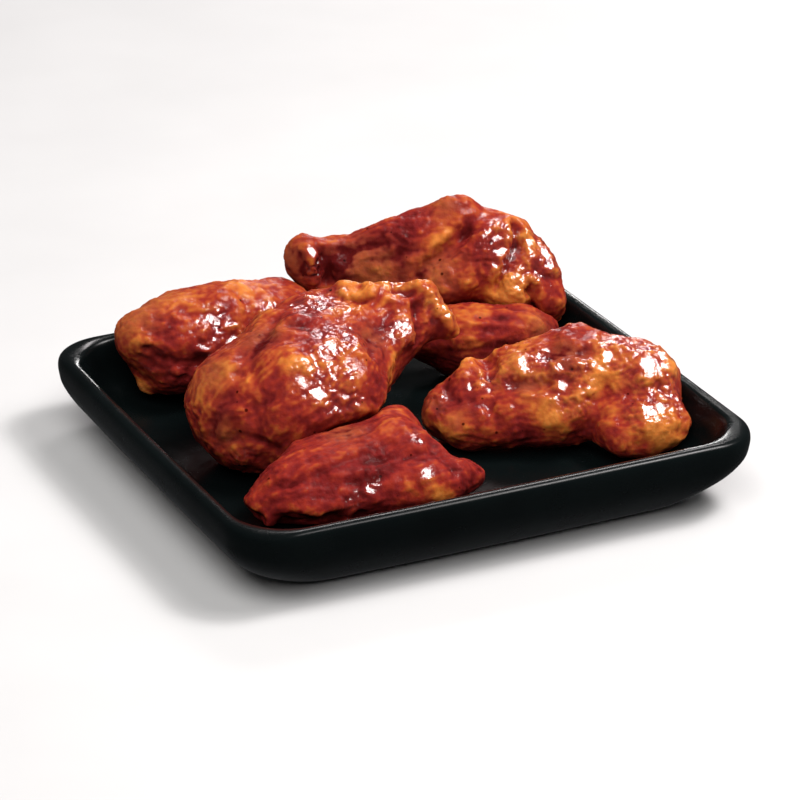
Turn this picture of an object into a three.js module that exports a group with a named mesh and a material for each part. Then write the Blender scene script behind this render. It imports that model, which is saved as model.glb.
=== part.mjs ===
// A serving of six glazed chicken wings on a square black dish, in millimetres, +Z up.
// The origin is at the middle of the dish's underside.
import * as THREE from 'three';
import { ImprovedNoise } from 'three/addons/math/ImprovedNoise.js';

// Driving dimensions of the dish.
const DISH_LENGTH = 165;
const DISH_WIDTH = 155;
const DISH_HEIGHT = 24;
const CORNER_RADIUS = 16;
const CORNER_GROWTH = 0.3;
const SIDE_BOW = 0.4;
const RIM_WIDTH = 5;
const RIM_DROP = 5;
const FOOT_INSET = 16;
const FOOT_WIDTH = 5;
const FOOT_RECESS = 1.2;
const FLOOR_TOP = 7;
const FLOOR_INSET = 21;
const CORNER_STEPS = 7;
const SIDE_STEPS = 3;

// How the wings are skinned and laid together.
const BLEND = 2;
const CONTACT_GAP = 0.55;
const LUMP_DEPTH = 0.7;
const LUMP_SIZE = 11;
const STEPS_AROUND = 32;
const STEPS_ALONG = 32;
const CAP_SHARE = 0.2;
const MARCH_STEP = 0.6;
const FARTHEST = 45;

// Each wing has a bone line, from one end to the other, as [x, y, z, radius of the meat there],
// and lobes: muscles, knuckles and folds of skin, each a rounded limb
// [start, end, radius at the start, radius at the end].
const WINGS = {
  front_flat: {
    color: 0x7d2410,
    bone: [
      [-61, -34.5, 14, 3.8], [-50, -34, 15.5, 8], [-36, -33, 16, 9.5], [-15, -31, 17, 10.5],
      [-8, -35, 15, 8],
    ],
    lobes: {
      near_bone: [[-50, -42, 13], [-8, -46, 14], 5, 7],
      far_bone: [[-42, -26, 19], [-8, -18, 20.5], 7, 7],
      elbow: [[-3, -41, 14], [3, -43, 13], 5.5, 5],
      skin_strand: [[-57, -39, 14], [-61, -41, 9.8], 2.4, 1.8],
    },
  },
  centre_drumette: {
    color: 0x8c2c12,
    bone: [
      [-46, 6, 25, 18], [-26.5, 8.5, 27.5, 19.5], [-13.5, 11, 30.5, 15.5], [2, 13.5, 35.5, 9.5],
      [14, 15, 38, 6.5],
    ],
    lobes: {
      thick_end: [[-47, -2, 18], [-39, -6, 18], 10.5, 10.5],
      upper_flank: [[-28, 22, 34], [-12, 27, 38], 12, 10],
      belly: [[-36, -3, 31.5], [-20, -5, 32.5], 13.5, 12],
      lip: [[-40, -11, 26], [-22, -13, 27.5], 9.5, 8.5],
      near_edge: [[-22, -5, 26], [-12, -1, 31], 9, 7],
      cuff_top: [[4, 17, 46], [16, 15, 47], 3, 3],
      cuff_side: [[16, 14, 46], [21, 8, 36], 3.2, 3.5],
      skin_flap: [[-7, 22, 43], [0, 20, 44], 3.5, 3],
    },
  },
  left_flat: {
    color: 0x84280f,
    bone: [[-57, 60, 28, 8.5], [-47, 60, 25.5, 12], [-30, 61, 26, 12.5], [-8, 62, 25, 10]],
    lobes: {
      far_bone: [[-44, 62, 28], [-8, 66, 28], 9.5, 8],
      skin_tag: [[-54, 58, 15], [-59, 58, 12], 2.6, 2.8],
      near_bone: [[-48, 54, 20], [-8, 54, 22], 9, 10],
      underside: [[-38, 60, 16], [-12, 61, 16], 8.5, 8.5],
    },
  },
  rear_drumette: {
    color: 0x93350f,
    bone: [
      [2, 69, 41, 4.5], [10, 67, 39, 5.5], [24, 64, 39, 7.5], [38, 60, 38, 10.5],
      [57, 55, 36, 11.5], [67, 45, 29, 8],
    ],
    lobes: {
      knuckle: [[1, 69, 42], [1, 66, 34], 5.5, 5],
      crest: [[28, 62, 44], [50, 58, 51], 6.5, 6],
      shank_side: [[12, 66, 35], [38, 54, 31], 6, 8],
      roll: [[61, 53, 45], [41, 48, 32], 6, 7],
      shoulder: [[66, 51, 41], [70, 45, 33], 6, 7],
      low_fold: [[59, 44, 33], [58, 42, 26], 5, 6],
      low_end: [[58, 44, 26], [69, 40, 24], 7, 8],
    },
  },
  middle_flat: {
    color: 0x76200e,
    bone: [[29, 36, 21, 6], [40, 34, 20, 8.5], [57, 31, 19.5, 8], [65, 33, 18, 6]],
    lobes: {
      far_bone: [[30, 42, 20], [57, 40, 19], 8, 7],
      underside: [[38, 37, 14], [58, 36, 14], 7, 7],
    },
  },
  right_drumette: {
    color: 0x96380f,
    bone: [
      [14, -6, 17, 6.5], [24, -8, 20, 7.5], [36, -12, 22, 10], [52, -18, 24, 12.5],
      [67, -28, 24, 11],
    ],
    lobes: {
      knuckle_low: [[12, -8, 16], [15, -15, 14], 6.5, 6],
      knuckle_top: [[21, -4, 24], [25, -3, 26], 4, 4],
      near_muscle: [[20, -17, 16], [44, -26, 17], 7.5, 9],
      crest: [[36, -7, 26], [55, -10, 33], 6.5, 6],
      right_muscle: [[66, -22, 27], [71, -27, 24], 8.5, 8],
      low_end: [[55, -42, 15.5], [67, -43, 16.5], 8.5, 9],
    },
  },
};

const noise = new ImprovedNoise();

// The dish's corners grow rounder from the rim inwards, and down to its foot.
const cornerRadius = (inset) => CORNER_RADIUS + CORNER_GROWTH * inset;

// Half of the straight stretch along each side of the outline `inset` millimetres inside the rim.
function straightHalf(inset) {
  return [DISH_LENGTH, DISH_WIDTH].map((side) => side / 2 - inset - cornerRadius(inset));
}

// The dish's outline `inset` millimetres inside its rim, as a fixed number of points however far in.
function outline(inset) {
  const radius = cornerRadius(inset);
  const half = straightHalf(inset);
  const points = [];
  for (let corner = 0; corner < 4; corner += 1) {
    const start = corner * Math.PI / 2;
    const sign = [corner === 0 || corner === 3 ? 1 : -1, corner < 2 ? 1 : -1];
    for (let step = 0; step <= CORNER_STEPS; step += 1) {
      const angle = start + (step / CORNER_STEPS) * Math.PI / 2;
      const x = sign[0] * half[0] + radius * Math.cos(angle);
      const y = sign[1] * half[1] + radius * Math.sin(angle);
      points.push(new THREE.Vector2(x, y));
    }
    const across = corner % 2 === 0 ? 0 : 1;
    const from = points[points.length - 1];
    for (let step = 1; step <= SIDE_STEPS; step += 1) {
      const share = step / (SIDE_STEPS + 1);
      const bow = SIDE_BOW * Math.sin(share * Math.PI);
      const along = half[across] * (1 - 2 * share) * sign[across];
      const side = new THREE.Vector2(from.x, from.y);
      if (across === 0) side.set(along, from.y + bow * sign[1]);
      else side.set(from.x + bow * sign[0], along);
      points.push(side);
    }
  }
  return points;
}

// The dish's section as [inset, height], from the middle of the underside out to the rim
// and back to the middle of the floor.
const middle = DISH_WIDTH / 2;
const footInside = FOOT_INSET + FOOT_WIDTH;
const underside = [[middle, FOOT_RECESS], [footInside + 1.5, FOOT_RECESS], [footInside, 0]];
const outerWall = [
  [FOOT_INSET, 0], [11, 2.6], [7, 6.4], [3.2, 11], [0.8, 15.5], [0, DISH_HEIGHT - RIM_DROP],
];
const rim = [
  [0, DISH_HEIGHT - 2], [0.7, DISH_HEIGHT - 0.6], [2, DISH_HEIGHT],
  [RIM_WIDTH - 1.4, DISH_HEIGHT - 0.1], [RIM_WIDTH, DISH_HEIGHT - 1.2],
];
const innerWall = [
  [RIM_WIDTH + 0.8, 20], [8, 15.6], [11.2, 11.4], [15.5, 8.2], [FLOOR_INSET, FLOOR_TOP],
];
const section = [...underside, ...outerWall, ...rim, ...innerWall, [middle, FLOOR_TOP]];

// The dish is turned from its section, and its points then moved out to the rounded-square outlines.
function dish() {
  const rings = section.map(([inset]) => outline(Math.min(inset, middle)));
  const sides = rings[0].length;
  const turned = section.map(([inset, z]) => new THREE.Vector2(middle - inset, z));
  const geometry = new THREE.LatheGeometry(turned, sides);
  const position = geometry.attributes.position;
  for (let side = 0; side <= sides; side += 1) {
    section.forEach(([inset, z], row) => {
      const point = inset < middle ? rings[row][side % sides] : new THREE.Vector2(0, 0);
      position.setXYZ(side * section.length + row, point.x, point.y, z);
    });
  }
  return geometry;
}

// Which of the dish's outlines runs through a place seen from above, found by halving.
function insetAt(x, y) {
  let [outer, inner] = [0, FLOOR_INSET];
  for (let halving = 0; halving < 16; halving += 1) {
    const inset = (outer + inner) / 2;
    const half = straightHalf(inset);
    const past = [Math.abs(x) - half[0], Math.abs(y) - half[1]];
    const aroundCorner = Math.hypot(Math.max(past[0], 0), Math.max(past[1], 0));
    const behindCorner = Math.min(Math.max(past[0], past[1]), 0);
    if (aroundCorner + behindCorner < cornerRadius(inset)) outer = inset;
    else inner = inset;
  }
  return outer;
}

// The height of the dish's upper face at a place.
function dishTop(x, y) {
  const inset = insetAt(x, y);
  const profile = [[RIM_WIDTH, DISH_HEIGHT], ...innerWall];
  if (inset <= RIM_WIDTH) return DISH_HEIGHT;
  for (let i = 1; i < profile.length; i += 1) {
    const [[x0, z0], [x1, z1]] = [profile[i - 1], profile[i]];
    if (inset < x1) return z0 + (z1 - z0) * (inset - x0) / (x1 - x0);
  }
  return FLOOR_TOP;
}

// The distance from a point to a rounded limb, less than zero inside it.
function limbDistance(point, [start, end, startRadius, endRadius]) {
  const axis = [end[0] - start[0], end[1] - start[1], end[2] - start[2]];
  const reach = [point.x - start[0], point.y - start[1], point.z - start[2]];
  const length2 = axis[0] ** 2 + axis[1] ** 2 + axis[2] ** 2;
  const dot = reach[0] * axis[0] + reach[1] * axis[1] + reach[2] * axis[2];
  const share = Math.min(Math.max(dot / length2, 0), 1);
  const off = [0, 1, 2].map((i) => reach[i] - share * axis[i]);
  return Math.hypot(...off) - startRadius - (endRadius - startRadius) * share;
}

// All of a wing's limbs: one along each stretch of the bone line, and its lobes.
function limbsOf({ bone, lobes }) {
  const stretches = bone.slice(1).map((end, i) => {
    const start = bone[i];
    return [start.slice(0, 3), end.slice(0, 3), start[3], end[3]];
  });
  return [...stretches, ...Object.values(lobes)];
}

const limbs = Object.fromEntries(Object.entries(WINGS).map(([name, wing]) => [name, limbsOf(wing)]));

// The distance to a wing's skin, with its limbs melted together.
function meat(name, point) {
  let sum = 0;
  for (const limb of limbs[name]) sum += Math.exp(-limbDistance(point, limb) / BLEND);
  return -BLEND * Math.log(sum);
}

// The distance to a wing's skin as it lies in the dish: lumpy, and pressed flat where it meets
// the dish or its neighbours.
function skin(name, point) {
  const free = meat(name, point);
  const lump = LUMP_DEPTH * noise.noise(point.x / LUMP_SIZE, point.y / LUMP_SIZE, point.z / LUMP_SIZE);
  let distance = free - lump;
  for (const other of Object.keys(WINGS)) {
    if (other !== name) distance = Math.max(distance, free - meat(other, point) + CONTACT_GAP);
  }
  return Math.max(distance, dishTop(point.x, point.y) + CONTACT_GAP - point.z);
}

// How far the skin lies from a point inside the wing, along a direction.
function reachOfSkin(name, from, direction) {
  const at = (reach) => from.clone().addScaledVector(direction, reach);
  let outside = MARCH_STEP;
  while (outside < FARTHEST && skin(name, at(outside)) < 0) outside += MARCH_STEP;
  let inside = outside - MARCH_STEP;
  for (let halving = 0; halving < 12; halving += 1) {
    const half = (inside + outside) / 2;
    if (skin(name, at(half)) < 0) inside = half;
    else outside = half;
  }
  return inside;
}

// How far a place on the sphere has gone into the rounded cap at either end: -1 to 0 at the first
// end, 0 to 1 at the last.
function capOf(travelled) {
  if (travelled < 0.5) return Math.min(travelled / CAP_SHARE - 1, 0);
  return Math.max((travelled - 1) / CAP_SHARE + 1, 0);
}

// A sphere drawn out along the bone line, each of its points then pushed out to the skin.
function wing(name) {
  const { bone } = WINGS[name];
  const spine = new THREE.CatmullRomCurve3(bone.map(([x, y, z]) => new THREE.Vector3(x, y, z)));
  const geometry = new THREE.SphereGeometry(1, STEPS_AROUND, STEPS_ALONG);
  const position = geometry.attributes.position;
  const along = spine.getPoint(1).sub(spine.getPoint(0)).normalize();
  const side = new THREE.Vector3(0, 0, 1).cross(along).normalize();
  const down = side.clone().cross(along);
  const unit = new THREE.Vector3();
  for (let i = 0; i < position.count; i += 1) {
    unit.fromBufferAttribute(position, i);
    const travelled = Math.acos(THREE.MathUtils.clamp(unit.y, -1, 1)) / Math.PI;
    const share = THREE.MathUtils.clamp((travelled - CAP_SHARE) / (1 - 2 * CAP_SHARE), 0, 1);
    const tilt = capOf(travelled) * Math.PI / 2;
    const around = Math.atan2(unit.z, unit.x);
    const outward = new THREE.Vector3().addScaledVector(along, Math.sin(tilt));
    outward.addScaledVector(side, Math.cos(tilt) * Math.sin(around));
    outward.addScaledVector(down, Math.cos(tilt) * Math.cos(around));
    const from = spine.getPoint(share);
    const skinPoint = from.addScaledVector(outward, reachOfSkin(name, from, outward));
    position.setXYZ(i, skinPoint.x, skinPoint.y, skinPoint.z);
  }
  return geometry;
}

function mesh(name, geometry, color, roughness) {
  geometry.computeVertexNormals();
  const solid = new THREE.Mesh(geometry, new THREE.MeshStandardMaterial({ color, roughness }));
  solid.name = name;
  return solid;
}

const serving = new THREE.Group();
serving.add(mesh('dish', dish(), 0x0b0e0f, 0.12));
for (const [name, { color }] of Object.entries(WINGS)) {
  serving.add(mesh(name, wing(name), color, 0.3));
}

export default serving;
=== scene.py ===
# %% [markdown]
# # Six glazed chicken wings on a square black dish
# Three drumettes and three flats lie in a heap on a small dish of black glazed ceramic. The
# solids that carry the shape and the weight already exist. This lesson dresses them: each wing
# gets its folds, wrinkles and pimples as real relief, then a sauce that is amber where it is thin
# and dark red where it has run together, with painted shade darkening its hollows and folds. The
# dish gets a finer surface and its glaze.

# %% Load the solids and note their box
import math
from itertools import product

import bmesh
import bpy
import numpy as np
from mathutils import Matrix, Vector
from mathutils.bvhtree import BVHTree


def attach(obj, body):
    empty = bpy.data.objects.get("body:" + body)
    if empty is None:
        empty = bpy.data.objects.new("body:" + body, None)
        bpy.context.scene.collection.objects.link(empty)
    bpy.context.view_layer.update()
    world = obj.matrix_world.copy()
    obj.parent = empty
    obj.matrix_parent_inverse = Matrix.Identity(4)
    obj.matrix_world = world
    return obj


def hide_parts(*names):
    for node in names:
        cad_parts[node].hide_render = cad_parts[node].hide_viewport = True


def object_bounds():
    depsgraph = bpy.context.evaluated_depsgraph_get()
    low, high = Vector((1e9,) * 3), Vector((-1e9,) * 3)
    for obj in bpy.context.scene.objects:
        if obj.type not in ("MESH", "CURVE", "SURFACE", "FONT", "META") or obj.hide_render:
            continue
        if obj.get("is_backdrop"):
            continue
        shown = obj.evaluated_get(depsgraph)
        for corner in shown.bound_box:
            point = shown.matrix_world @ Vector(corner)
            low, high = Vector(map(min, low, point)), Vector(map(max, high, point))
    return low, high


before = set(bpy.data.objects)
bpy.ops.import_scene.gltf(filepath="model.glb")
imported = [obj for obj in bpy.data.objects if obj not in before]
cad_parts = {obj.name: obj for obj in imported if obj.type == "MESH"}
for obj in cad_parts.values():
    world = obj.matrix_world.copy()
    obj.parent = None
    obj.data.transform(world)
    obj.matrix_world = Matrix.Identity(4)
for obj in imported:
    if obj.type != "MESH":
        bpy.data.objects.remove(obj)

MM = 0.001
CAD_BOX = [list(corner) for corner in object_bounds()]
print("solids:", ", ".join(sorted(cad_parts)))

# %% [markdown]
# ## The camera
# A long lens from well above the table keeps the dish's sides nearly parallel, which is how a dish
# of food is usually shown. The camera could be aimed by a constraint. It is placed instead by the
# direction it stands in, its distance and the point it looks at, because those are three plain
# values to change, and nothing has to be shifted afterwards.

# %% Camera
CAMERA_TURN = math.radians(-25.66)
CAMERA_RISE = math.radians(24.89)
CAMERA_DISTANCE = 1.1652
LENS_LENGTH, SENSOR_WIDTH = 175.5, 36      # in millimetres
AIM = Vector((0.0008, -0.0004, 0.0204))


def direction(turn, rise):
    """The direction of something seen from the dish, by its turn from the front and its rise."""
    level = math.cos(rise)
    return Vector((math.sin(turn) * level, -math.cos(turn) * level, math.sin(rise)))


camera = bpy.data.objects.new("camera", bpy.data.cameras.new("camera"))
camera.data.lens = LENS_LENGTH
camera.data.sensor_width = SENSOR_WIDTH
camera.location = direction(CAMERA_TURN, CAMERA_RISE) * CAMERA_DISTANCE
camera.rotation_euler = (AIM - camera.location).to_track_quat("-Z", "Y").to_euler()
bpy.context.scene.collection.objects.link(camera)
bpy.context.scene.camera = camera
print("camera at", [round(value, 3) for value in camera.location])

# %% [markdown]
# ## The light
# Wet sauce and fired glaze mirror the lamps as well as being lit by them. One big lamp would be
# simple, but its reflection would hide the colour under it, so the work is shared out. A soft box
# with a small bright core stands high on the right: it lights the tops and breaks into white
# beads on the pimples. A small box behind, and a low narrow one, are there for the rim and the
# corners of the dish to mirror. Two wide boxes fill the front and the left. They are kept out of
# reflections, so they lighten the recesses without laying a haze on anything.

# %% Lamps
# Each lamp's turn and rise in degrees, its distance and its width and height in metres, its power
# in watts and its tint.
LAMPS = {
    "key_box": (66, 58, 1.0, (0.54, 0.46), 7.5, (1, 0.96, 0.95)),
    "key_core": (72, 57, 0.98, (0.22, 0.18), 4.6, (1, 0.97, 0.96)),
    "back_box": (145, 40, 1.0, (0.3, 0.13), 2.6, (1, 0.95, 0.95)),
    "low_box": (148, 9, 1.0, (0.24, 0.07), 1.3, (1, 0.98, 0.97)),
    "front_box": (-25, 48, 1.4, (0.9, 0.9), 12.5, (1, 0.98, 0.97)),
    "left_box": (-75, 62, 1.4, (1.0, 1.0), 7.5, (1, 0.98, 0.96)),
}
FILL_BOXES = ("front_box", "left_box")


def soft_lamp(name, turn, rise, distance, size, power, tint):
    """A soft box that stands in one direction and faces the dish."""
    lamp = bpy.data.lights.new(name, "AREA")
    lamp.shape = "RECTANGLE"
    lamp.size, lamp.size_y = size
    lamp.energy = power
    lamp.color = tint
    holder = bpy.data.objects.new(name, lamp)
    holder.location = direction(math.radians(turn), math.radians(rise)) * distance + AIM
    holder.rotation_euler = (AIM - holder.location).to_track_quat("-Z", "Y").to_euler()
    holder.visible_glossy = name not in FILL_BOXES
    bpy.context.scene.collection.objects.link(holder)
    return holder


for name, settings in LAMPS.items():
    box = soft_lamp(name, *settings)
    print(name, "%.1f W," % box.data.energy, "mirrored" if box.visible_glossy else "fill only")

# %% [markdown]
# ## The table and the room
# The dish stands on plain pale paper in a dim, slightly blue room. A curved backdrop would hide
# the horizon, but from above none shows, so the paper is one big square. It lies a fifth of a
# millimetre under the foot ring, so that the two surfaces never share a plane, and it is kept out
# of reflections, so that the walls of the dish stay black.

# %% Floor and surroundings
FLOOR_SIZE, FLOOR_DROP = 3.0, 0.0002
ROOM_COLOUR, ROOM_STRENGTH = (0.95, 0.97, 1, 1), 0.07

half = FLOOR_SIZE / 2
floor_mesh = bpy.data.meshes.new("floor")
floor_corners = [(-half, -half, 0), (half, -half, 0), (half, half, 0), (-half, half, 0)]
floor_mesh.from_pydata(floor_corners, [], [(0, 1, 2, 3)])
floor = bpy.data.objects.new("floor", floor_mesh)
floor.location.z = -FLOOR_DROP
bpy.context.scene.collection.objects.link(floor)
floor.visible_glossy = False
floor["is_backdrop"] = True

world = bpy.data.worlds.new("studio")
world.use_nodes = True
room = world.node_tree.nodes["Background"]
room.inputs["Color"].default_value = ROOM_COLOUR
room.inputs["Strength"].default_value = ROOM_STRENGTH
bpy.context.scene.world = world
bpy.context.scene.view_settings.view_transform = "Standard"
print("floor:", FLOOR_SIZE, "m square, room at", ROOM_STRENGTH)

# %% [markdown]
# ## Small tools for making materials
# Every finish here is a little network of nodes. It could be wired by hand in the shader editor.
# A few short helpers do the same in a script and keep it readable: one adds a node, one fills its
# sockets, and the others make what the finishes use more than once. The floor's paper is their
# first use. Plain paper isn't perfectly even, so its grey drifts by a few percent, and it is well
# under white, because the lamps bring it up.

# %% Material helpers and the floor's paper
PAPER_GREYS = [(0.3, (0.55, 0.55, 0.55)), (0.7, (0.58, 0.58, 0.58))]


def node(tree, kind, **properties):
    """Adds a node and sets its properties."""
    made = tree.nodes.new(kind)
    for name, value in properties.items():
        setattr(made, name, value)
    return made


def sockets(made, values):
    """Fills a node's inputs, each with a plain value or from another node's output."""
    for name, value in values.items():
        if isinstance(value, bpy.types.NodeSocket):
            made.id_data.links.new(value, made.inputs[name])
        else:
            made.inputs[name].default_value = value
    return made


def ramp(tree, factor, stops):
    """A colour ramp with stops of (place, colour)."""
    made = sockets(node(tree, "ShaderNodeValToRGB"), {"Fac": factor})
    elements = made.color_ramp.elements
    while len(elements) < len(stops):
        elements.new(0.5)
    for element, (place, colour) in zip(elements, stops):
        element.position = place
        element.color = (*colour, 1)
    return made.outputs["Color"]


def noise(tree, scale, detail, **links):
    """Smooth noise from 0 to 1 in a material."""
    values = {"Scale": scale, "Detail": detail, **links}
    return sockets(node(tree, "ShaderNodeTexNoise"), values).outputs["Fac"]


def new_material(name):
    """A node material, its node tree and its Principled shader."""
    material = bpy.data.materials.new(name)
    material.use_nodes = True
    return material, material.node_tree, material.node_tree.nodes["Principled BSDF"]


floor_material, tree, shader = new_material("floor_paper")
paper = ramp(tree, noise(tree, scale=40.0, detail=3.0), PAPER_GREYS)
sockets(shader, {"Base Color": paper, "Roughness": 0.9, "Specular IOR Level": 0.1})
floor.data.materials.append(floor_material)
print("paper:", len(tree.nodes), "nodes")

# %% [markdown]
# ## Tools for numbers on a surface
# The relief could come from displacement textures, but here it is worked out with numpy on all of
# a mesh's points at once, because then the same numbers can colour the sauce too. Lumps come from
# smooth noise: random slopes on a lattice, blended between its corners. Pimples come from
# scattered points: how far each place is from the nearest one.

# %% Noise on a surface
PRIMES = np.array([73856093, 19349663, 83492791])
SEED_PRIME = 2654435
TABLE_SIZE = 4096
LUMP_GAIN = 1.7                          # brings the noise to about -1 to 1
LUMP_SHIFT, SCATTER_SHIFT = 0.37, 0.71   # how far a new seed moves the lattice
FARTHEST = 9.0                           # above any squared distance to a scattered point

dice = np.random.default_rng(7)
SLOPES = dice.normal(size=(TABLE_SIZE, 3))
SLOPES /= np.linalg.norm(SLOPES, axis=1)[:, None]
SCATTER = dice.random((TABLE_SIZE, 3))


def dot(these, those):
    """The dot product of each row with its partner."""
    return np.einsum("ij,ij->i", these, those)


def draw(cells, seed):
    """A row of the random tables for each lattice cell."""
    mixed = cells * PRIMES
    return (mixed[:, 0] ^ mixed[:, 1] ^ mixed[:, 2] ^ (seed * SEED_PRIME)) % TABLE_SIZE


def lumps(places, size, seed=0):
    """Smooth noise from about -1 to 1 whose lumps are `size` across."""
    scaled = places / size + LUMP_SHIFT * seed
    cells = np.floor(scaled).astype(np.int64)
    inside = scaled - cells
    eased = inside ** 3 * (inside * (inside * 6 - 15) + 10)
    total = np.zeros(len(places))
    for corner in product((0, 1), repeat=3):
        slope = SLOPES[draw(cells + corner, seed)]
        weight = np.prod(np.where(corner, eased, 1 - eased), axis=1)
        total += weight * dot(slope, inside - corner)
    return total * LUMP_GAIN


def nearest_seed(places, size, seed=0):
    """How far each place is from the nearest of scattered points, as a share of their spacing."""
    scaled = places / size + SCATTER_SHIFT * seed
    cells = np.floor(scaled).astype(np.int64)
    nearest = np.full(len(places), FARTHEST)
    for corner in product((-1, 0, 1), repeat=3):
        around = cells + corner
        gap = around + SCATTER[draw(around, seed)] - scaled
        nearest = np.minimum(nearest, dot(gap, gap))
    return np.sqrt(nearest)


def ease(low, high, values):
    """0 below low, 1 above high, and a smooth rise between."""
    share = np.clip((values - low) / (high - low), 0, 1)
    return share * share * (3 - 2 * share)


tried = lumps(np.linspace((0, 0, 0), (90, 60, 30), 500), 5)
print("lumps run from %.2f to %.2f" % (tried.min(), tried.max()))

# %% [markdown]
# ## The dish's outline
# Seen from above, the real dish is a square whose corners are rounded and whose sides bow out by
# a hair. A cube with bevelled edges comes close, but its corners would keep one radius all the
# way in. Drawing the outline as a ring of points lets the corners grow rounder towards the
# middle, as they do on a dish that was cast in a mould.

# %% Outline
DISH_LENGTH, DISH_WIDTH = 165.0, 155.0
CORNER_RADIUS = 16.0
CORNER_GROWTH = 0.3            # how much the radius gains for each millimetre inwards
SIDE_BOW = 0.4
CORNER_STEPS, SIDE_STEPS = 20, 28
FLAT_INSET = 42.0              # further in than this the rings only shrink towards the middle,
MIDDLE_INSET = 62.0            # and this far in they would shrink to nothing
CORNERS = [(1, 1), (-1, 1), (-1, -1), (1, -1)]


def outline(inset):
    """The dish's rounded square, `inset` millimetres inside its rim, as a closed ring of points."""
    if inset > FLAT_INSET:
        share = (MIDDLE_INSET - inset) / (MIDDLE_INSET - FLAT_INSET)
        return [(x * share, y * share) for x, y in outline(FLAT_INSET)]
    radius = CORNER_RADIUS + CORNER_GROWTH * inset
    half_x = DISH_LENGTH / 2 - inset - radius
    half_y = DISH_WIDTH / 2 - inset - radius
    ring = []
    for corner, (sign_x, sign_y) in enumerate(CORNERS):
        for step in range(CORNER_STEPS + 1):
            angle = (corner + step / CORNER_STEPS) * math.pi / 2
            x = sign_x * half_x + radius * math.cos(angle)
            ring.append((x, sign_y * half_y + radius * math.sin(angle)))
        x, y = ring[-1]
        for step in range(1, SIDE_STEPS + 1):
            share = step / (SIDE_STEPS + 1)
            bow = SIDE_BOW * math.sin(share * math.pi)
            if corner % 2 == 0:
                ring.append((half_x * (1 - 2 * share) * sign_x, y + bow * sign_y))
            else:
                ring.append((x + bow * sign_x, half_y * (1 - 2 * share) * sign_y))
    return ring


print("outline:", len(outline(0)), "points round the rim")

# %% [markdown]
# ## The dish's section
# Cut through, the dish shows one flowing line: a flat underside, a low foot ring, a wall that
# sweeps up and out, a rounded rim and a flat floor. Only the places where that line changes are
# given, and a smooth curve is laid through them, so the wall has no corners to catch the light.

# %% Section
# From the middle of the underside to the middle of the floor: how far inside the rim the line is,
# and how high, in millimetres.
SECTION = [
    (60, 1.2), (30, 1.2), (22.5, 1.2), (21.4, 0.5), (21, 0.05), (19, 0), (16.6, 0.05), (16, 0.3),
    (13.6, 1.2), (11, 2.6), (7, 6.4), (3.2, 11), (0.8, 15.5), (0.1, 19), (0, 21.6), (0.55, 23.3),
    (2, 24), (3.7, 23.8), (4.9, 22.8), (5.9, 20), (8, 15.6), (11.2, 11.4), (15.5, 8.2), (21, 7),
    (30, 6.9), (45, 6.9), (60, 6.9),
]
SECTION_STEPS = 5


def smooth_line(points, steps):
    """A rounded line through the points, with `steps` places to each stretch."""
    points = np.array(points, float)
    padded = np.vstack([2 * points[0] - points[1], points, 2 * points[-1] - points[-2]])
    places = []
    for a, b, c, d in zip(padded, padded[1:], padded[2:], padded[3:]):
        for t in np.arange(steps) / steps:
            bend = 2 * b + (c - a) * t + (2 * a - 5 * b + 4 * c - d) * t ** 2
            places.append((bend + (3 * b - a - 3 * c + d) * t ** 3) / 2)
    return np.array(places + [points[-1]])


print("section:", len(smooth_line(SECTION, SECTION_STEPS)), "places on the line")

# %% [markdown]
# ## Sweep the section round the outline
# A square plate with round corners isn't a turned shape, so the screw tool can't spin it. The
# section is swept round the outline instead: each place on it gives one ring of points, and
# neighbouring rings are joined with squares. Dipped glaze is never quite flat, so the points are
# moved by less than a tenth of a millimetre, which lets reflections wander.

# %% The dish
GLAZE_WAVE, WAVE_SIZE, WAVE_SEED = 0.07, 26, 3
WAVE_START, WAVE_FULL = 0.6, 3           # the heights between which the waves set in
WAVE_UPWARD, WAVE_SIDEWAYS = 0.6, 0.004


def ring_faces(rows, count):
    """The squares between neighbouring rings of `count` points."""
    faces = []
    for row in range(rows - 1):
        for i in range(count):
            after = (i + 1) % count
            faces.append((row * count + i, row * count + after,
                          (row + 1) * count + after, (row + 1) * count + i))
    return faces


def make_dish():
    """The dish's mesh: a ring of points for each place on the section, closed top and bottom."""
    section = smooth_line(SECTION, SECTION_STEPS)
    rings = [[(x, y, z) for x, y in outline(inset)] for inset, z in section]
    count = len(rings[0])
    faces = ring_faces(len(rings), count)
    points = np.array([point for ring in rings for point in ring])
    bottom, top = len(points), len(points) + 1
    points = np.vstack([points, (0, 0, section[0][1]), (0, 0, section[-1][1])])
    last = (len(rings) - 1) * count
    faces += [(bottom, (i + 1) % count, i) for i in range(count)]
    faces += [(top, last + i, last + (i + 1) % count) for i in range(count)]
    wave = GLAZE_WAVE * lumps(points, WAVE_SIZE, WAVE_SEED)
    wave = wave * ease(WAVE_START, WAVE_FULL, points[:, 2])
    points[:, 2] += wave * WAVE_UPWARD
    points[:, :2] *= 1 - WAVE_SIDEWAYS * wave[:, None]
    mesh = bpy.data.meshes.new("glazed_dish")
    mesh.from_pydata((points * MM).tolist(), [], faces)
    mesh.shade_smooth()
    return mesh


dish = bpy.data.objects.new("glazed_dish", make_dish())
bpy.context.scene.collection.objects.link(dish)
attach(dish, "root")
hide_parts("dish")
print("dish:", len(dish.data.polygons), "faces,", [round(v / MM, 1) for v in dish.dimensions], "mm")

# %% [markdown]
# ## The black glaze
# Fired glaze is glass over a dark body: almost black, faintly green, and it mirrors the lamps.
# One flat black would do from afar, but it looks like plastic close up. So the colour drifts a
# little, the roughness varies as it does where fingers have touched, and a slow ripple bends the
# reflections.

# %% Glaze material
GLAZE_BLACKS = [(0.3, (0.0015, 0.0024, 0.0025)), (0.7, (0.003, 0.005, 0.0052))]


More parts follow.
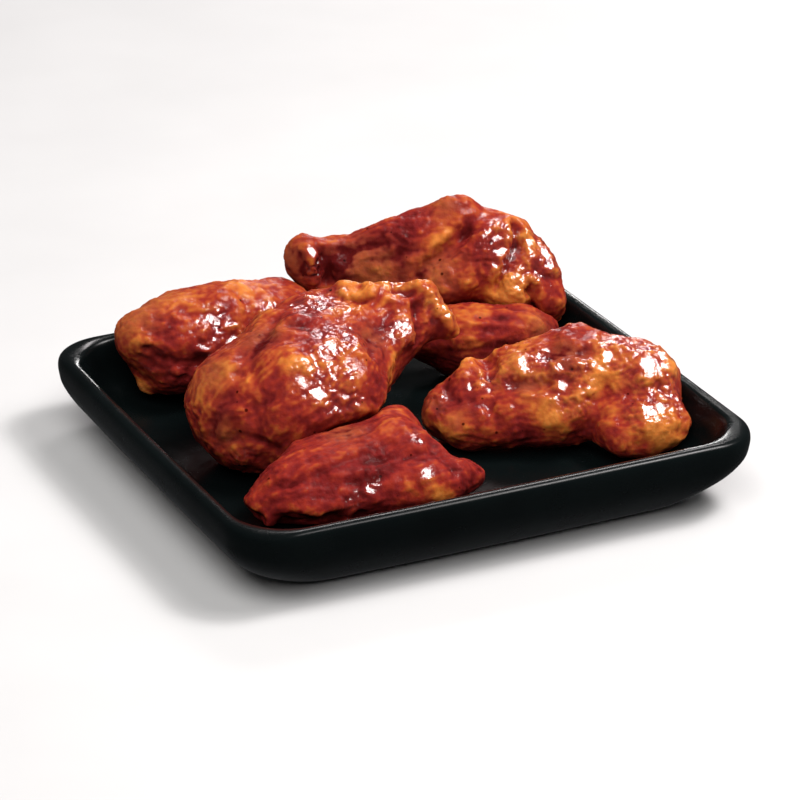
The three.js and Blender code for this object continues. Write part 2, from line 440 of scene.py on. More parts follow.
def bump(tree, height, strength, distance):
    """A normal that makes the surface look uneven without moving it."""
    values = {"Height": height, "Strength": strength, "Distance": distance}
    return sockets(node(tree, "ShaderNodeBump"), values).outputs["Normal"]


glaze_material, tree, shader = new_material("black_glaze")
where = node(tree, "ShaderNodeTexCoord").outputs["Object"]
black = ramp(tree, noise(tree, scale=28.0, detail=4.0, Vector=where), GLAZE_BLACKS)
touch = sockets(node(tree, "ShaderNodeMapRange"), {
    "Value": noise(tree, scale=160.0, detail=5.0, Vector=where),
    "From Min": 0.3, "From Max": 0.75, "To Min": 0.2, "To Max": 0.3,
})
waves = noise(tree, scale=90.0, detail=2.0, Vector=where)
ripple = bump(tree, waves, strength=0.25, distance=0.0003)
sockets(shader, {
    "Base Color": black, "Roughness": touch.outputs["Result"], "Specular IOR Level": 0.12,
    "Coat Weight": 0.03, "Coat Roughness": 0.04, "Normal": ripple,
})
dish.data.materials.append(glaze_material)
print("glaze:", len(tree.nodes), "nodes")

# %% [markdown]
# ## A net of points to work on
# To shape skin, a script has to know each point's place, its neighbours and which way the skin
# faces there. Blender's own tools hold that too, but one point at a time. This small class keeps
# it in arrays, so that a whole wing is smoothed or pushed outwards in a moment.

# %% Nets of points


class Net:
    """A mesh's points, in millimetres, with what is needed to move them."""

    def __init__(self, mesh):
        self.mesh = mesh
        count = len(mesh.vertices)
        self.points = np.empty(count * 3, np.float32)
        mesh.vertices.foreach_get("co", self.points)
        self.points = self.points.reshape(-1, 3).astype(float) / MM
        edges = np.empty(len(mesh.edges) * 2, np.int32)
        mesh.edges.foreach_get("vertices", edges)
        self.ends = edges.reshape(-1, 2).T
        self.degree = np.bincount(self.ends.ravel(), minlength=count)[:, None]

    def neighbours_mean(self, values):
        """For each point the mean of its neighbours' values, as columns."""
        first, second = self.ends
        sums = []
        for column in values.reshape(len(values), -1).T:
            total = np.bincount(first, column[second], len(values))
            sums.append(total + np.bincount(second, column[first], len(values)))
        return np.array(sums).T / self.degree

    def smooth(self, values, rounds):
        """Values evened out over the surface, more with each round."""
        shape = values.shape
        for _ in range(rounds):
            values = (values.reshape(len(values), -1) + self.neighbours_mean(values)) / 2
        return values.reshape(shape)

    def normals(self):
        """Which way the skin faces at each point."""
        self.write()
        normals = np.empty(len(self.points) * 3, np.float32)
        self.mesh.vertex_normals.foreach_get("vector", normals)
        return normals.reshape(-1, 3).astype(float)

    def below_level(self, rounds):
        """How far each point lies under the skin evened out by so many rounds."""
        return dot(self.smooth(self.points, rounds) - self.points, self.normals())

    def push(self, height):
        """Moves every point along its normal."""
        self.points = self.points + self.normals() * height[:, None]

    def write(self):
        """Puts the points back into the mesh."""
        self.mesh.vertices.foreach_set("co", (self.points * MM).astype(np.float32).ravel())
        self.mesh.update()


tried = Net(dish.data)
print("the dish as a net:", len(tried.points), "points,", len(tried.ends[0]), "edges")

# %% [markdown]
# ## From solid to skin
# A wing's solid is made of flat facets. It could be sculpted over by hand, but then the work
# would have to be done again each time the solid changes. So it is copied, its doubled points are
# welded, and it is rounded by subdivision. Remeshing to small even squares then gives a net fine
# enough to hold pimples. The copy stays where the solid is, so the wings still lie on each other.

# %% Copies and remeshing
FORM_CELL = 0.8
SKIN_CELL = 0.45
WELD_DISTANCE = 0.01


def remeshed(mesh, cell, levels=0):
    """The mesh rounded by subdivision, if asked, and rebuilt in even squares."""
    helper = bpy.data.objects.new("helper", mesh)
    bpy.context.scene.collection.objects.link(helper)
    if levels:
        rounding = helper.modifiers.new("round", "SUBSURF")
        rounding.levels = rounding.render_levels = levels
    squares = helper.modifiers.new("squares", "REMESH")
    squares.mode = "VOXEL"
    squares.voxel_size = cell * MM
    graph = bpy.context.evaluated_depsgraph_get()
    made = bpy.data.meshes.new_from_object(helper.evaluated_get(graph))
    bpy.data.objects.remove(helper)
    return made


def welded_copy(name):
    """A copy of a solid's mesh with its doubled points joined."""
    shape = bmesh.new()
    shape.from_mesh(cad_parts[name].data)
    bmesh.ops.remove_doubles(shape, verts=shape.verts, dist=WELD_DISTANCE * MM)
    mesh = bpy.data.meshes.new(name + "_copy")
    shape.to_mesh(mesh)
    shape.free()
    mesh.materials.clear()
    return mesh


print("cells:", FORM_CELL, "mm for the form,", SKIN_CELL, "mm for the skin")

# %% [markdown]
# ## Where a fold runs
# Skin gathers where a wing bends and hangs loose round the bone ends. Noise could wrinkle it, but
# only anywhere, and each wing here has its own folds in their own places. So each fold is drawn
# as a few points on the wing, in millimetres. The points are rounded off into a line and laid on
# the skin, and for every place near it the script works out how far from the line it is, on which
# side, and how far along.

# %% Lines on the skin
SHORT_LINE_STEPS, LONG_LINE_STEPS = 6, 5


def laid_down(net, line):
    """A line's points rounded off and laid on the skin."""
    if len(line) == 1:
        line = np.array(line, float)
    elif len(line) == 2:
        line = np.linspace(line[0], line[1], SHORT_LINE_STEPS)
    else:
        line = smooth_line(line, LONG_LINE_STEPS)
    nearest = [((net.points - point) ** 2).sum(axis=1).argmin() for point in line]
    line = net.points[nearest]
    if len(line) > 2:
        line[1:-1] = (line[:-2] + 2 * line[1:-1] + line[2:]) / 4
    return line


def along(line, places, normals):
    """How far each place is from a line, how far to its left or right, and its share along it."""
    if len(line) == 1:
        middle = np.full(len(places), 0.5)
        return np.linalg.norm(places - line[0], axis=1), middle, middle
    gap = np.full(len(places), 1e9)
    side, share = np.zeros((2, len(places)))
    for step, (start, end) in enumerate(zip(line, line[1:])):
        length = max(np.linalg.norm(end - start), 1e-6)
        heading = (end - start) / length
        reach = np.clip((places - start) @ heading, 0, length)
        off = places - start - reach[:, None] * heading
        here = np.linalg.norm(off, axis=1)
        nearer = here < gap
        gap[nearer] = here[nearer]
        side[nearer] = dot(off, np.cross(normals, heading))[nearer]
        share[nearer] = (step + reach[nearer] / length) / (len(line) - 1)
    return gap, side, share


tried = smooth_line([(0, 0, 0), (4, 0, 0), (8, 3, 0)], LONG_LINE_STEPS)
print("a line of 3 points is laid down as", len(tried))

# %% [markdown]
# ## How a fold shapes the skin
# Four kinds of fold are enough for chicken skin. A crease sinks, with a low roll on both sides. A
# ridge stands up, and drawn as a single point it is a knob. A dent is a hollow with a broad floor.
# A flap lifts the skin on one side of its line and lets its edge hang over the other. Each is a
# short formula of the distance, which is easier to tune than a brush stroke. The lines stray and
# their heights change along the way, so that no fold looks ruled.

# %% Folds
FOLD_REACH, FOLD_MARGIN = 4, 4                       # in widths, and then in millimetres
STRAY, STRAY_SIZE, STRAY_SEED = 0.22, 3.5, 21        # how far a line strays, in widths
CHANGE, CHANGE_SIZE, CHANGE_SEED = 0.3, 6, 22        # how much its height changes, as a share
ROLL_HEIGHT, ROLL_PLACE, ROLL_WIDTH = 0.3, 2.0, 0.9  # the rolls along a crease
FLAP_ENDS, FLAP_HANG = 0.2, 0.8                      # how its ends fade, and how far it hangs
FLAP_START, FLAP_TOP = -0.5, 0.9                     # between these, in mm, its sheet rises
GROOVE_DEPTH, GROOVE_PLACE = 0.4, 1.2                # the groove beside its edge
EDGE_PLACE, EDGE_WIDTH = 0.5, 1.1


def crease(gap, width):
    """How high the skin stands near a crease of depth 1."""
    rolls = ROLL_HEIGHT * np.exp(-((gap - ROLL_PLACE * width) / (ROLL_WIDTH * width)) ** 2)
    return rolls - np.exp(-(gap / width) ** 1.6)


def ridge(gap, width):
    """How high the skin stands near a ridge or a knob of height 1."""
    return np.exp(-(gap / width) ** 2)


def dent(gap, width):
    """How high the skin stands near a dent of depth 1."""
    return -np.exp(-(gap / width) ** 3)


def flap(gap, side, share, height, width):
    """How high a flap of height 1 lifts the skin, and how far its edge hangs over."""
    ends = ease(0, FLAP_ENDS, np.minimum(share, 1 - share))
    close = np.exp(-(np.maximum(gap - np.abs(side), 0) / 2) ** 2) * ends
    sheet = ease(FLAP_START, FLAP_TOP, side) * np.exp(-(np.maximum(side, 0) / width) ** 2)
    groove = GROOVE_DEPTH * np.exp(-((side + GROOVE_PLACE) / EDGE_WIDTH) ** 2)
    edge = np.exp(-((side - EDGE_PLACE) / EDGE_WIDTH) ** 2)
    return close * (sheet - groove), FLAP_HANG * height * close * edge


PROFILES = {"crease": crease, "ridge": ridge, "dent": dent}


def fold(net, kind, line, height, width):
    """Shapes the skin along one line. Only the points near it are worked on."""
    line = laid_down(net, line)
    room = FOLD_REACH * width + FOLD_MARGIN
    low, high = line.min(axis=0) - room, line.max(axis=0) + room
    near = ((net.points > low) & (net.points < high)).all(axis=1)
    places, normals = net.points[near], net.normals()[near]
    gap, side, share = along(line, places, normals)
    stray = STRAY * width * lumps(places, STRAY_SIZE, STRAY_SEED)
    gap, side = np.maximum(gap + stray, 0), side + stray
    height = height * (1 + CHANGE * lumps(places, CHANGE_SIZE, CHANGE_SEED))
    if kind == "flap":
        lift, hang = flap(gap, side, share, height, width)
        heading = (line[-1] - line[0]) / np.linalg.norm(line[-1] - line[0])
        net.points[near] -= np.cross(normals, heading) * hang[:, None]
    else:
        lift = PROFILES[kind](gap, width)
    net.points[near] += normals * (height * lift)[:, None]


tried = np.array([0.0, 1.0, 2.0, 4.0])
print("a crease 1 mm wide:", crease(tried, 1.0).round(2), "at", tried, "mm")

# %% [markdown]
# ## Patches and pools
# The sauce isn't one colour, and it isn't equally wet. Taut skin is amber, skin under thick sauce
# is red, some places have browned and dried in the oven, and here and there the sauce has run
# together into a flat glassy skin. Some patches of tone are painted shade in recesses and creases,
# and a few are painted light on dim places. These could be painted on by hand. Here each is a
# place on the skin with a radius, because a short list can be read and changed. Noise makes a
# patch's edge ragged. A pool is more than a patch: the skin under it is laid flat, so that it
# mirrors the lamp as one clean shape.

# %% Patches and pools
NUDGE = 2.2
PATCH_RAGGED_SIZE, PATCH_SEED = 5, 31
POOL_RAGGED, POOL_RAGGED_SIZE, POOL_SEED = 0.8, 2.4, 41
POOL_FLATNESS = 0.9
POOL_FACING = np.array([0.056, -0.63, 0.774])      # half way between the front and the key box


def nudged(places, size, seed):
    """The places moved about, so that what is worked out from them gets ragged edges."""
    moves = [lumps(places, size, seed + axis) for axis in range(3)]
    return places + NUDGE * np.stack(moves, axis=1)


def patches(points, spots, seed):
    """The sum of soft patches, each a place and a radius, and an amount if that isn't 1."""
    ragged = nudged(points, PATCH_RAGGED_SIZE, seed + PATCH_SEED)
    total = np.zeros(len(points))
    for place, radius, *amount in spots:
        gap = np.linalg.norm(ragged - place, axis=1)
        total += (amount[0] if amount else 1) * np.exp(-(gap / radius) ** 2)
    return total


def settle(net, place, radius):
    """Lays the skin round a place flat and tells which points lie in that pool."""
    ragged = POOL_RAGGED * lumps(net.points, POOL_RAGGED_SIZE, POOL_SEED)
    gap = np.linalg.norm(net.points - place, axis=1) + ragged
    pool = np.exp(-(np.maximum(gap, 0) / radius) ** 4)
    off = net.points @ POOL_FACING
    off -= np.average(off, weights=pool)
    net.points -= POOL_FACING * (POOL_FLATNESS * off * pool)[:, None]
    return pool


tried = patches(np.array([(0.0, 0, 0), (5, 0, 0), (10, 0, 0)]), [((0, 0, 0), 5)], 0)
print("a patch of radius 5 at 0, 5 and 10 mm:", tried.round(2))

# %% [markdown]
# ## Notes on each wing
# No two wings look alike, so each gets its own page of notes, all in millimetres:
# - dryness: how far its sauce has dried all over, from 0, wet, to 1; shade: how much it shifts
#   the tone, down for redder, and on the front flat partly as painted shade; lumpiness: how
#   strong its lumps and pimples are.
# - folds: a kind, the points of its line, its height and its width.
# - tints and shading: a place, a radius and how far it moves the tone, up to amber or down to dark
#   red. Some are painted shade in recesses, creases and on shaded sides, and a few painted light.
# - browned and wet: places and radii. A wet spot with a negative amount dries its place instead.
# - pools: places and radii.
#
# The seeds of the noise follow the order of the pages.
#
# ## The rear drumette
# The drumette at the back ends in a bare knuckle, round a small recess. Its skin has slid down to
# the thick end, where it hangs in a roll with a deep cleft under it. The roll could be a piece of
# its own, but it grows out of the skin, so it is a ridge with a crease behind it. The sauce has
# mostly dried here, and only the roll and the knuckle shine.

# %% Rear drumette
WINGS = {}


def note(name, **notes):
    """Keeps a wing's notes and tells how many there are of each kind."""
    WINGS[name] = notes
    lists = {kind: len(value) for kind, value in notes.items() if isinstance(value, (dict, list))}
    print(name + ":", ", ".join("%d %s" % (count, kind) for kind, count in lists.items()))


note(
    "rear_drumette", dryness=0.92, shade=0.02, lumpiness=0.85,
    folds={
        "recess": ("dent", [(5, 61, 44), (5, 61, 40), (5, 60, 36)], 4.2, 2.2),
        "knob_side": ("ridge", [(0, 63, 46), (0, 61, 42), (0, 60, 37)], 2.2, 2.0),
        "knob_bead_1": ("ridge", [(1, 62, 43)], 1.3, 1.3),
        "knob_bead_2": ("ridge", [(1, 61, 40)], 1.3, 1.2),
        "knob_bead_3": ("ridge", [(2, 61, 37)], 1.2, 1.1),
        "neck_top": ("ridge", [(4, 66, 46), (9, 64, 46), (14, 62, 47)], 0.9, 1.6),
        "dark_band": ("crease", [(8, 61, 44), (14, 60, 44), (22, 58, 45)], 1.4, 2.0),
        "shank_fold": ("crease", [(17, 57, 41), (26, 54, 42), (33, 51, 44)], 0.8, 1.4),
        "wrinkle_1": ("crease", [(33, 49, 41), (35, 45, 35)], 0.6, 0.9),
        "wrinkle_2": ("crease", [(37, 47, 42), (38, 43, 35)], 0.6, 0.9),
        "wrinkle_3": ("crease", [(40, 46, 41), (41, 43, 34)], 0.5, 0.9),
        "valley": ("crease", [(49, 50, 49), (42, 48, 45), (33, 49, 39), (31, 49, 36)], 3.4, 2.0),
        "roll": ("ridge", [(57, 48, 49), (50, 45, 44), (44, 43, 35)], 2.3, 3.0),
        "roll_end": (
            "crease", [(64, 47, 49), (62, 43, 43), (57, 40, 38), (53, 38, 33)], 3.6, 1.5,
        ),
        "right_strip": ("ridge", [(67, 46, 47), (67, 43, 42), (64, 41, 38)], 1.0, 2.0),
        "bulge": ("ridge", [(57, 37, 33), (56, 36, 29)], 2.4, 3.6),
        "cleft": ("crease", [(63, 35, 32), (63, 35, 22)], 4.8, 1.6),
        "right_lump": ("ridge", [(70, 39, 38)], 1.5, 3.2),
        "lump_gap": ("crease", [(66, 38, 36), (70, 37, 34), (73, 38, 32)], 1.3, 1.4),
        "low_right_lump": ("ridge", [(68, 34, 28)], 1.3, 3.2),
        "peak": ("ridge", [(44, 57, 56), (50, 56, 56)], 0.9, 3.0),
    },
    tints=[
        # Painted shade: the patches at (6, 60, 40) in the recess, (12, 60, 44) in the dark band,
        # (-5, 66, 41) and (-2, 64, 41) on the knob's shaded left side, (65, 34, 27) in the cleft,
        # and the eight along the valley and the fold behind the roll. (56, 37, 31) and (54, 38, 26)
        # lighten the bulge, partly for its amber skin and partly as painted light where it faces
        # down.
        ((39, 51, 48), 7, 0.3), ((46, 56, 55), 6, -0.24), ((25, 57, 48), 9, -0.32),
        ((33, 56, 50), 7, -0.4), ((11, 64, 46), 4, 0.3), ((6, 60, 40), 5, -0.7),
        ((12, 60, 44), 6, -0.6), ((-2, 64, 41), 5, -0.16), ((19, 55, 38), 6, 0.26),
        ((-5, 66, 41), 5, -0.25), ((36, 45, 37), 6, 0.12), ((50, 45, 44), 5, -0.24),
        ((56, 37, 31), 7, 0.55), ((54, 38, 26), 5, 0.4), ((67, 45, 44), 4, 0.3),
        ((65, 34, 27), 4, -0.2), ((63, 46, 47), 2.4, -0.45), ((62, 43, 43), 2.6, -0.5),
        ((58, 41, 39), 2.4, -0.4), ((70, 39, 38), 3, -0.12), ((49, 50, 49), 2.6, -0.5),
        ((45, 49, 47), 2.6, -0.55), ((41, 48, 44), 2.6, -0.5), ((37, 48, 41), 2.6, -0.4),
        ((33, 49, 38), 2.6, -0.3), ((1, 63, 44), 3, -0.5), ((0, 62, 40), 3, -0.5),
    ],
    browned=[
        ((20, 55, 38), 8), ((13, 60, 42), 6), ((36, 46, 38), 7), ((-4, 66, 42), 6),
        ((44, 58, 54), 5),
    ],
    wet=[((1, 61, 41), 4), ((56, 44, 44), 8), ((69, 41, 41), 9), ((58, 37, 33), 6)],
    pools=[
        ((56, 45, 46), 2.6), ((57, 43, 43), 2.6), ((53, 41, 39), 1.8), ((67, 44, 44), 2.0),
        ((71, 42, 40), 3.0), ((71, 39, 37), 2.6), ((58, 37, 32), 2.4), ((1, 62, 45), 2.0),
        ((2, 61, 42), 1.8), ((2, 61, 38), 1.6),
    ],
)

# %% [markdown]
# ## The centre drumette
# The biggest wing lies across the middle. Its skin was pushed down from the bone end and has set
# as a thick rolled cuff, with a thin flap beside it. Modelled apart, the cuff and the flap would
# look stuck on, so they are lifted out of the wing's own skin. Its face is wet and mirrors the
# lamp in many small beads.

# %% Centre drumette
note(
    "centre_drumette", dryness=0.86, shade=0.02, lumpiness=0.9,
    folds={
        "cuff_hollow": ("dent", [(6, 15, 49), (10, 13, 48)], 3.0, 1.8),
        "cuff": (
            "ridge",
            [(4, 18, 50), (9, 17, 50), (14, 14, 49), (17, 9, 46), (19, 7, 41), (20, 6, 37)],
            1.8, 1.7,
        ),
        "cuff_inner": ("ridge", [(-1, 14, 48), (4, 12, 47), (9, 10, 46)], 1.0, 1.5),
        "wet_face": ("ridge", [(5, 4, 43), (4, 2, 39)], 1.8, 2.8),
        "wet_groove": ("crease", [(11, 9, 45), (10, 6, 41), (9, 4, 36)], 2.2, 1.4),
        "neck_edge": (
            "ridge", [(7, 1, 37), (5, 1, 38), (-6, -9, 35), (-12, -15, 31), (-16, -18, 27)],
            1.4, 1.8,
        ),
        "neck_valley": ("crease", [(2, 7, 45), (-8, -1, 44), (-12, -9, 41)], 1.9, 2.4),
        "skin_flap": ("flap", [(-10, 22, 48), (-7, 19, 48), (-3, 16, 48), (2, 13, 48)], 2.8, 4.0),
        "flap_top": ("ridge", [(-7, 25, 49), (-4, 22, 49), (0, 19, 50)], 3.4, 3.4),
        "top_lump": ("ridge", [(-20, 20, 48), (-15, 19, 48)], 1.4, 3.6),
        "top_lump_2": ("ridge", [(-12, 14, 48), (-16, 9, 48)], 1.2, 3.2),
        "red_valley": (
            "crease", [(-31, 6, 48), (-25, 3, 47), (-17, 5, 47), (-12, 9, 47)], 1.5, 2.0,
        ),
        "face_lump": ("ridge", [(-24, -5, 46), (-19, -2, 46)], 0.8, 3.6),
        "amber_swell": ("ridge", [(-38, -8, 43)], 0.6, 5.4),
        "face_gap": ("crease", [(-33, -6, 44), (-31, -12, 41), (-33, -17, 36)], 1.1, 1.6),
        "flank_valley": (
            "crease", [(-32, 15, 47), (-40, 6, 45), (-46, 1, 42), (-49, -3, 41)], 1.8, 2.8,
        ),
        "end_crease": (
            "crease", [(-52, -2, 40), (-54, -5, 37), (-57, -5, 33), (-61, -4, 27), (-61, -4, 22)],
            1.5, 1.7,
        ),
        "end_dimple": ("crease", [(-46, -13, 35), (-50, -11, 30), (-49, -13, 24)], 1.4, 2.0),
        "bottom_ball": ("ridge", [(-54, -11, 18)], 1.6, 3.4),
        "ball_gap": ("crease", [(-60, -6, 20), (-54, -12, 24), (-46, -15, 21)], 1.2, 1.5),
        "lip": ("ridge", [(-36, -19, 28), (-29, -20, 30), (-21, -20, 30)], 1.2, 1.5),
        "under_lip": ("crease", [(-40, -16, 21), (-30, -18, 24), (-19, -19, 25)], 1.6, 1.8),
    },
    tints=[
        # Painted shade: the patch at (8, 2, 34), under the neck.
        ((-37, -9, 43), 6, 0.16), ((-58, 4, 39), 7, 0.2), ((-42, 4, 45), 6, -0.5),
        ((-61, -5, 26), 6, -0.2), ((-30, 13, 48), 5, -0.3), ((-20, 19, 47), 7, -0.26),
        ((17, 8, 45), 4, 0.28), ((8, 16, 50), 4, 0.2), ((-4, 20, 50), 5, 0.32),
        ((-8, -1, 44), 7, -0.34), ((-4, -5, 34), 4, 0.5), ((-15, -16, 36), 6, -0.3),
        ((8, 2, 34), 4, -0.5), ((-44, -15, 28), 9, -0.12), ((-26, 6, 47), 7, -0.26),
        ((-54, -5, 35), 4, -0.24), ((9, 12, 47), 4, -0.16), ((-30, -18, 33), 6, -0.06),
    ],
    browned=[((-40, 8, 46), 7), ((-57, 4, 37), 6), ((-57, -6, 24), 4), ((-8, 0, 43), 5)],
    wet=[
        ((-18, 20, 47), 7), ((-12, 15, 47), 7), ((-21, -4, 46), 9), ((-36, -14, 39), 6),
        ((-28, -17, 36), 8), ((-25, -20, 30), 5), ((4, 3, 41), 6), ((18, 8, 44), 6),
        ((8, 15, 50), 5), ((-54, -11, 17), 4), ((-8, 0, 43), 4, -1.5),
    ],
    pools=[
        ((4, 4, 41), 3.6), ((-37, -14, 39), 3.0), ((-33, -17, 36), 2.6), ((-26, -19, 34), 2.2),
        ((-24, -6, 45), 2.6), ((-18, -3, 45), 2.2), ((-18, 20, 47), 2.2), ((19, 8, 42), 1.6),
    ],
)

# %% [markdown]
# ## The front flat
# A flat is the middle joint of a wing, with two thin bones side by side. On this one the skin is
# stretched tight over them, so fine streaks run all along it. Its lower edge hangs free in small
# arches. Those could be cut out, but dents in the edge leave it closed and soft. The sauce on it
# is thin, dark and dull, and its tone is lowered all over, partly as painted shade.

# %% Front flat
note(
    "front_flat", dryness=1, shade=-0.23, lumpiness=0.55,
    folds={
        "between_bones": ("crease", [(-35, -40, 25), (-22, -41, 23), (-12, -43, 22)], 0.5, 1.8),
        "streak_1": (
            "ridge", [(-55, -38, 21), (-42, -38, 24), (-28, -36, 27), (-17, -32, 28)], 0.6, 1.2,
        ),
        "streak_2": (
            "ridge", [(-58, -40, 18), (-45, -43, 20), (-30, -43, 22), (-15, -41, 24)], 0.5, 1.1,
        ),
        "streak_3": ("crease", [(-52, -41, 21), (-37, -41, 24), (-20, -38, 26)], 0.7, 1.0),
        "streak_4": ("crease", [(-45, -35, 24), (-30, -32, 28), (-15, -28, 29)], 0.5, 1.0),
        "side_streak": (
            "crease", [(-60, -38, 19), (-50, -42, 21), (-38, -45, 20), (-26, -46, 20)], 0.7, 1.2,
        ),
        "skin_edge": (
            "flap",
            [(-61, -42, 13), (-55, -45, 15), (-49, -47, 13), (-43, -48, 14), (-38, -49, 13)],
            1.5, 3.0,
        ),
        "tip_under": ("dent", [(-64, -35, 11), (-62, -39, 11)], 4.5, 2.2),
        "arch_1": ("dent", [(-54, -43, 9), (-50, -46, 9)], 5.5, 3.0),
        "arch_2": ("dent", [(-44, -48, 9), (-42, -48, 9)], 4.5, 2.4),
        "arch_3": ("dent", [(-35, -49, 9)], 3.0, 2.0),
        "wet_lump_1": ("ridge", [(-32, -48, 18), (-30, -49, 15)], 1.2, 1.8),
        "wet_lump_2": ("ridge", [(-15, -49, 19)], 1.3, 2.4),
        "end_pimple_1": ("ridge", [(-14, -35, 28)], 1.0, 1.8),
        "end_pimple_2": ("ridge", [(-13, -38, 26)], 0.9, 1.5),
        "end_pimple_3": ("ridge", [(-8, -35, 26)], 0.9, 1.6),
        "end_pimple_4": ("ridge", [(-13, -41, 24), (-9, -40, 23)], 0.9, 1.4),
        "notch": ("crease", [(-8, -41, 24), (-7, -45, 21), (-6, -49, 18)], 1.5, 1.7),
        "saddle": ("dent", [(-6, -29, 22), (-3, -34, 19), (-2, -38, 18)], 4.0, 3.4),
        "elbow": ("ridge", [(-1, -47, 18), (2, -46, 16)], 1.3, 2.6),
    },
    tints=[
        ((-17, -30, 29), 6, 0.14), ((-7, -24, 27), 6, 0.14), ((-49, -39, 23), 7, -0.04),
        ((-26, -41, 24), 8, -0.16), ((-43, -47, 15), 6, 0.24), ((-18, -51, 16), 3, 0.2),
        ((-2, -48, 17), 6, 0.06), ((-11, -52, 13), 5, 0.7), ((-20, -49, 18), 5, 0.34),
        ((-61, -38, 17), 4, 0.24), ((-36, -36, 26), 6, 0.1), ((-55, -45, 16), 3, 0.3),
    ],
    browned=[((-30, -28, 27), 5)],
    wet=[((-15, -49, 19), 3), ((-31, -48, 17), 3), ((-38, -48, 15), 3), ((-11, -37, 26), 3)],
    pools=[((-15, -49, 19), 2.2), ((-32, -48, 18), 1.8), ((-39, -48, 15), 1.2)],
)

# %% [markdown]
# ## The left flat
# This flat shows its long side: one thick ridge of skin with a small hole at its end, and
# wrinkles under it. The hole doesn't go through on the real one either, so a dent does for it.
# The wet lumps along the ridge are single points, since a bead needs no line.

# %% Left flat
note(
    "left_flat", dryness=0.9, shade=-0.05, lumpiness=0.8,
    folds={
        "wrinkle_1": ("ridge", [(-55, 57, 37), (-49, 53, 37), (-46, 50, 35)], 0.6, 1.0),
        "wrinkle_2": ("ridge", [(-57, 54, 36), (-52, 51, 35), (-48, 48, 33)], 0.5, 1.0),
        "side_ridge": (
            "ridge", [(-63, 49, 30), (-55, 48, 31), (-49, 46, 31), (-43, 46, 29), (-38, 46, 28)],
            1.8, 2.8,
        ),
        "under_ridge": ("crease", [(-59, 46, 26), (-52, 43, 25), (-44, 43, 24)], 1.4, 1.8),
        "hole": ("dent", [(-61, 48, 28), (-60, 47, 28)], 2.8, 1.5),
        "low_wrinkle_1": ("crease", [(-64, 48, 24), (-60, 46, 23), (-56, 43, 22)], 1.2, 1.2),
        "low_wrinkle_2": ("crease", [(-60, 46, 19), (-55, 43, 19), (-50, 43, 19)], 1.1, 1.1),
        "wet_lump_1": ("ridge", [(-43, 46, 31), (-41, 47, 33)], 1.1, 2.2),
        "wet_lump_2": ("ridge", [(-34, 47, 31)], 1.1, 2.4),
        "wet_lump_3": ("ridge", [(-19, 51, 33), (-17, 53, 35)], 1.1, 2.2),
        "red_dip": ("crease", [(-45, 52, 37), (-38, 50, 35), (-31, 51, 36)], 0.9, 2.2),
        "right_fold": ("crease", [(-27, 56, 39), (-26, 51, 35), (-27, 47, 30)], 1.3, 1.8),
    },
    tints=[
        # Painted shade: the patch at (-50, 43, 24), under the side ridge.
        ((-22, 57, 38), 7, 0.32), ((-43, 57, 39), 8, 0.2), ((-64, 54, 33), 8, 0.12),
        ((-52, 50, 34), 5, -0.16), ((-36, 50, 35), 7, -0.16), ((-50, 43, 24), 9, -0.22),
        ((-58, 46, 19), 7, 0.02), ((-61, 56, 12), 4, 0.7),
    ],
    browned=[((-60, 58, 36), 7), ((-61, 56, 12), 4), ((-50, 66, 38), 8)],
    wet=[
        ((-42, 47, 31), 5), ((-33, 47, 31), 5), ((-18, 52, 34), 5), ((-38, 50, 35), 4),
        ((-58, 44, 21), 5),
    ],
    pools=[
        ((-19, 50, 32), 2.6), ((-38, 50, 35), 2.0), ((-33, 46, 28), 2.4), ((-43, 45, 28), 2.8),
    ],
)

# %% [markdown]
# ## The middle flat
# Only the back of this flat shows between its neighbours, so four lines are enough. It could be
# left out, but its amber back closes the gap between two drumettes, and from above it is in full
# view.

# %% Middle flat
note(
    "middle_flat", dryness=1, shade=-0.16, lumpiness=0.6,
    folds={
        "streak_1": ("crease", [(33, 32, 29), (44, 29, 28), (56, 26, 26)], 0.7, 1.1),
        "streak_2": ("ridge", [(33, 29, 27), (44, 27, 26), (56, 23, 24)], 0.7, 1.2),
        "streak_3": ("ridge", [(33, 27, 23), (44, 24, 23), (55, 22, 22)], 0.9, 1.6),
        "far_edge": ("ridge", [(48, 29, 28), (57, 26, 26), (61, 24, 23)], 0.9, 1.8),
    },
    tints=[
        ((44, 32, 29), 4, 0.24), ((37, 30, 28), 5, 0.08), ((58, 26, 26), 4, 0.16),
        ((48, 27, 26), 5, -0.2), ((42, 27, 25), 4, -0.16), ((38, 24, 21), 6, 0.2),
    ],
    browned=[((60, 25, 24), 4)],
    wet=[],
    pools=[],
)

# %% [markdown]
# ## The right drumette
# The drumette at the right has the most to draw: a knuckle split into small lumps, a peak with a
# hollow under it, a pocket, a belly, and a big lobe that hangs at its end. Large shapes such as
# the lobe are in the solid already, and the lines here only sharpen them. It is the wettest of
# the six, so it gets the most pools.

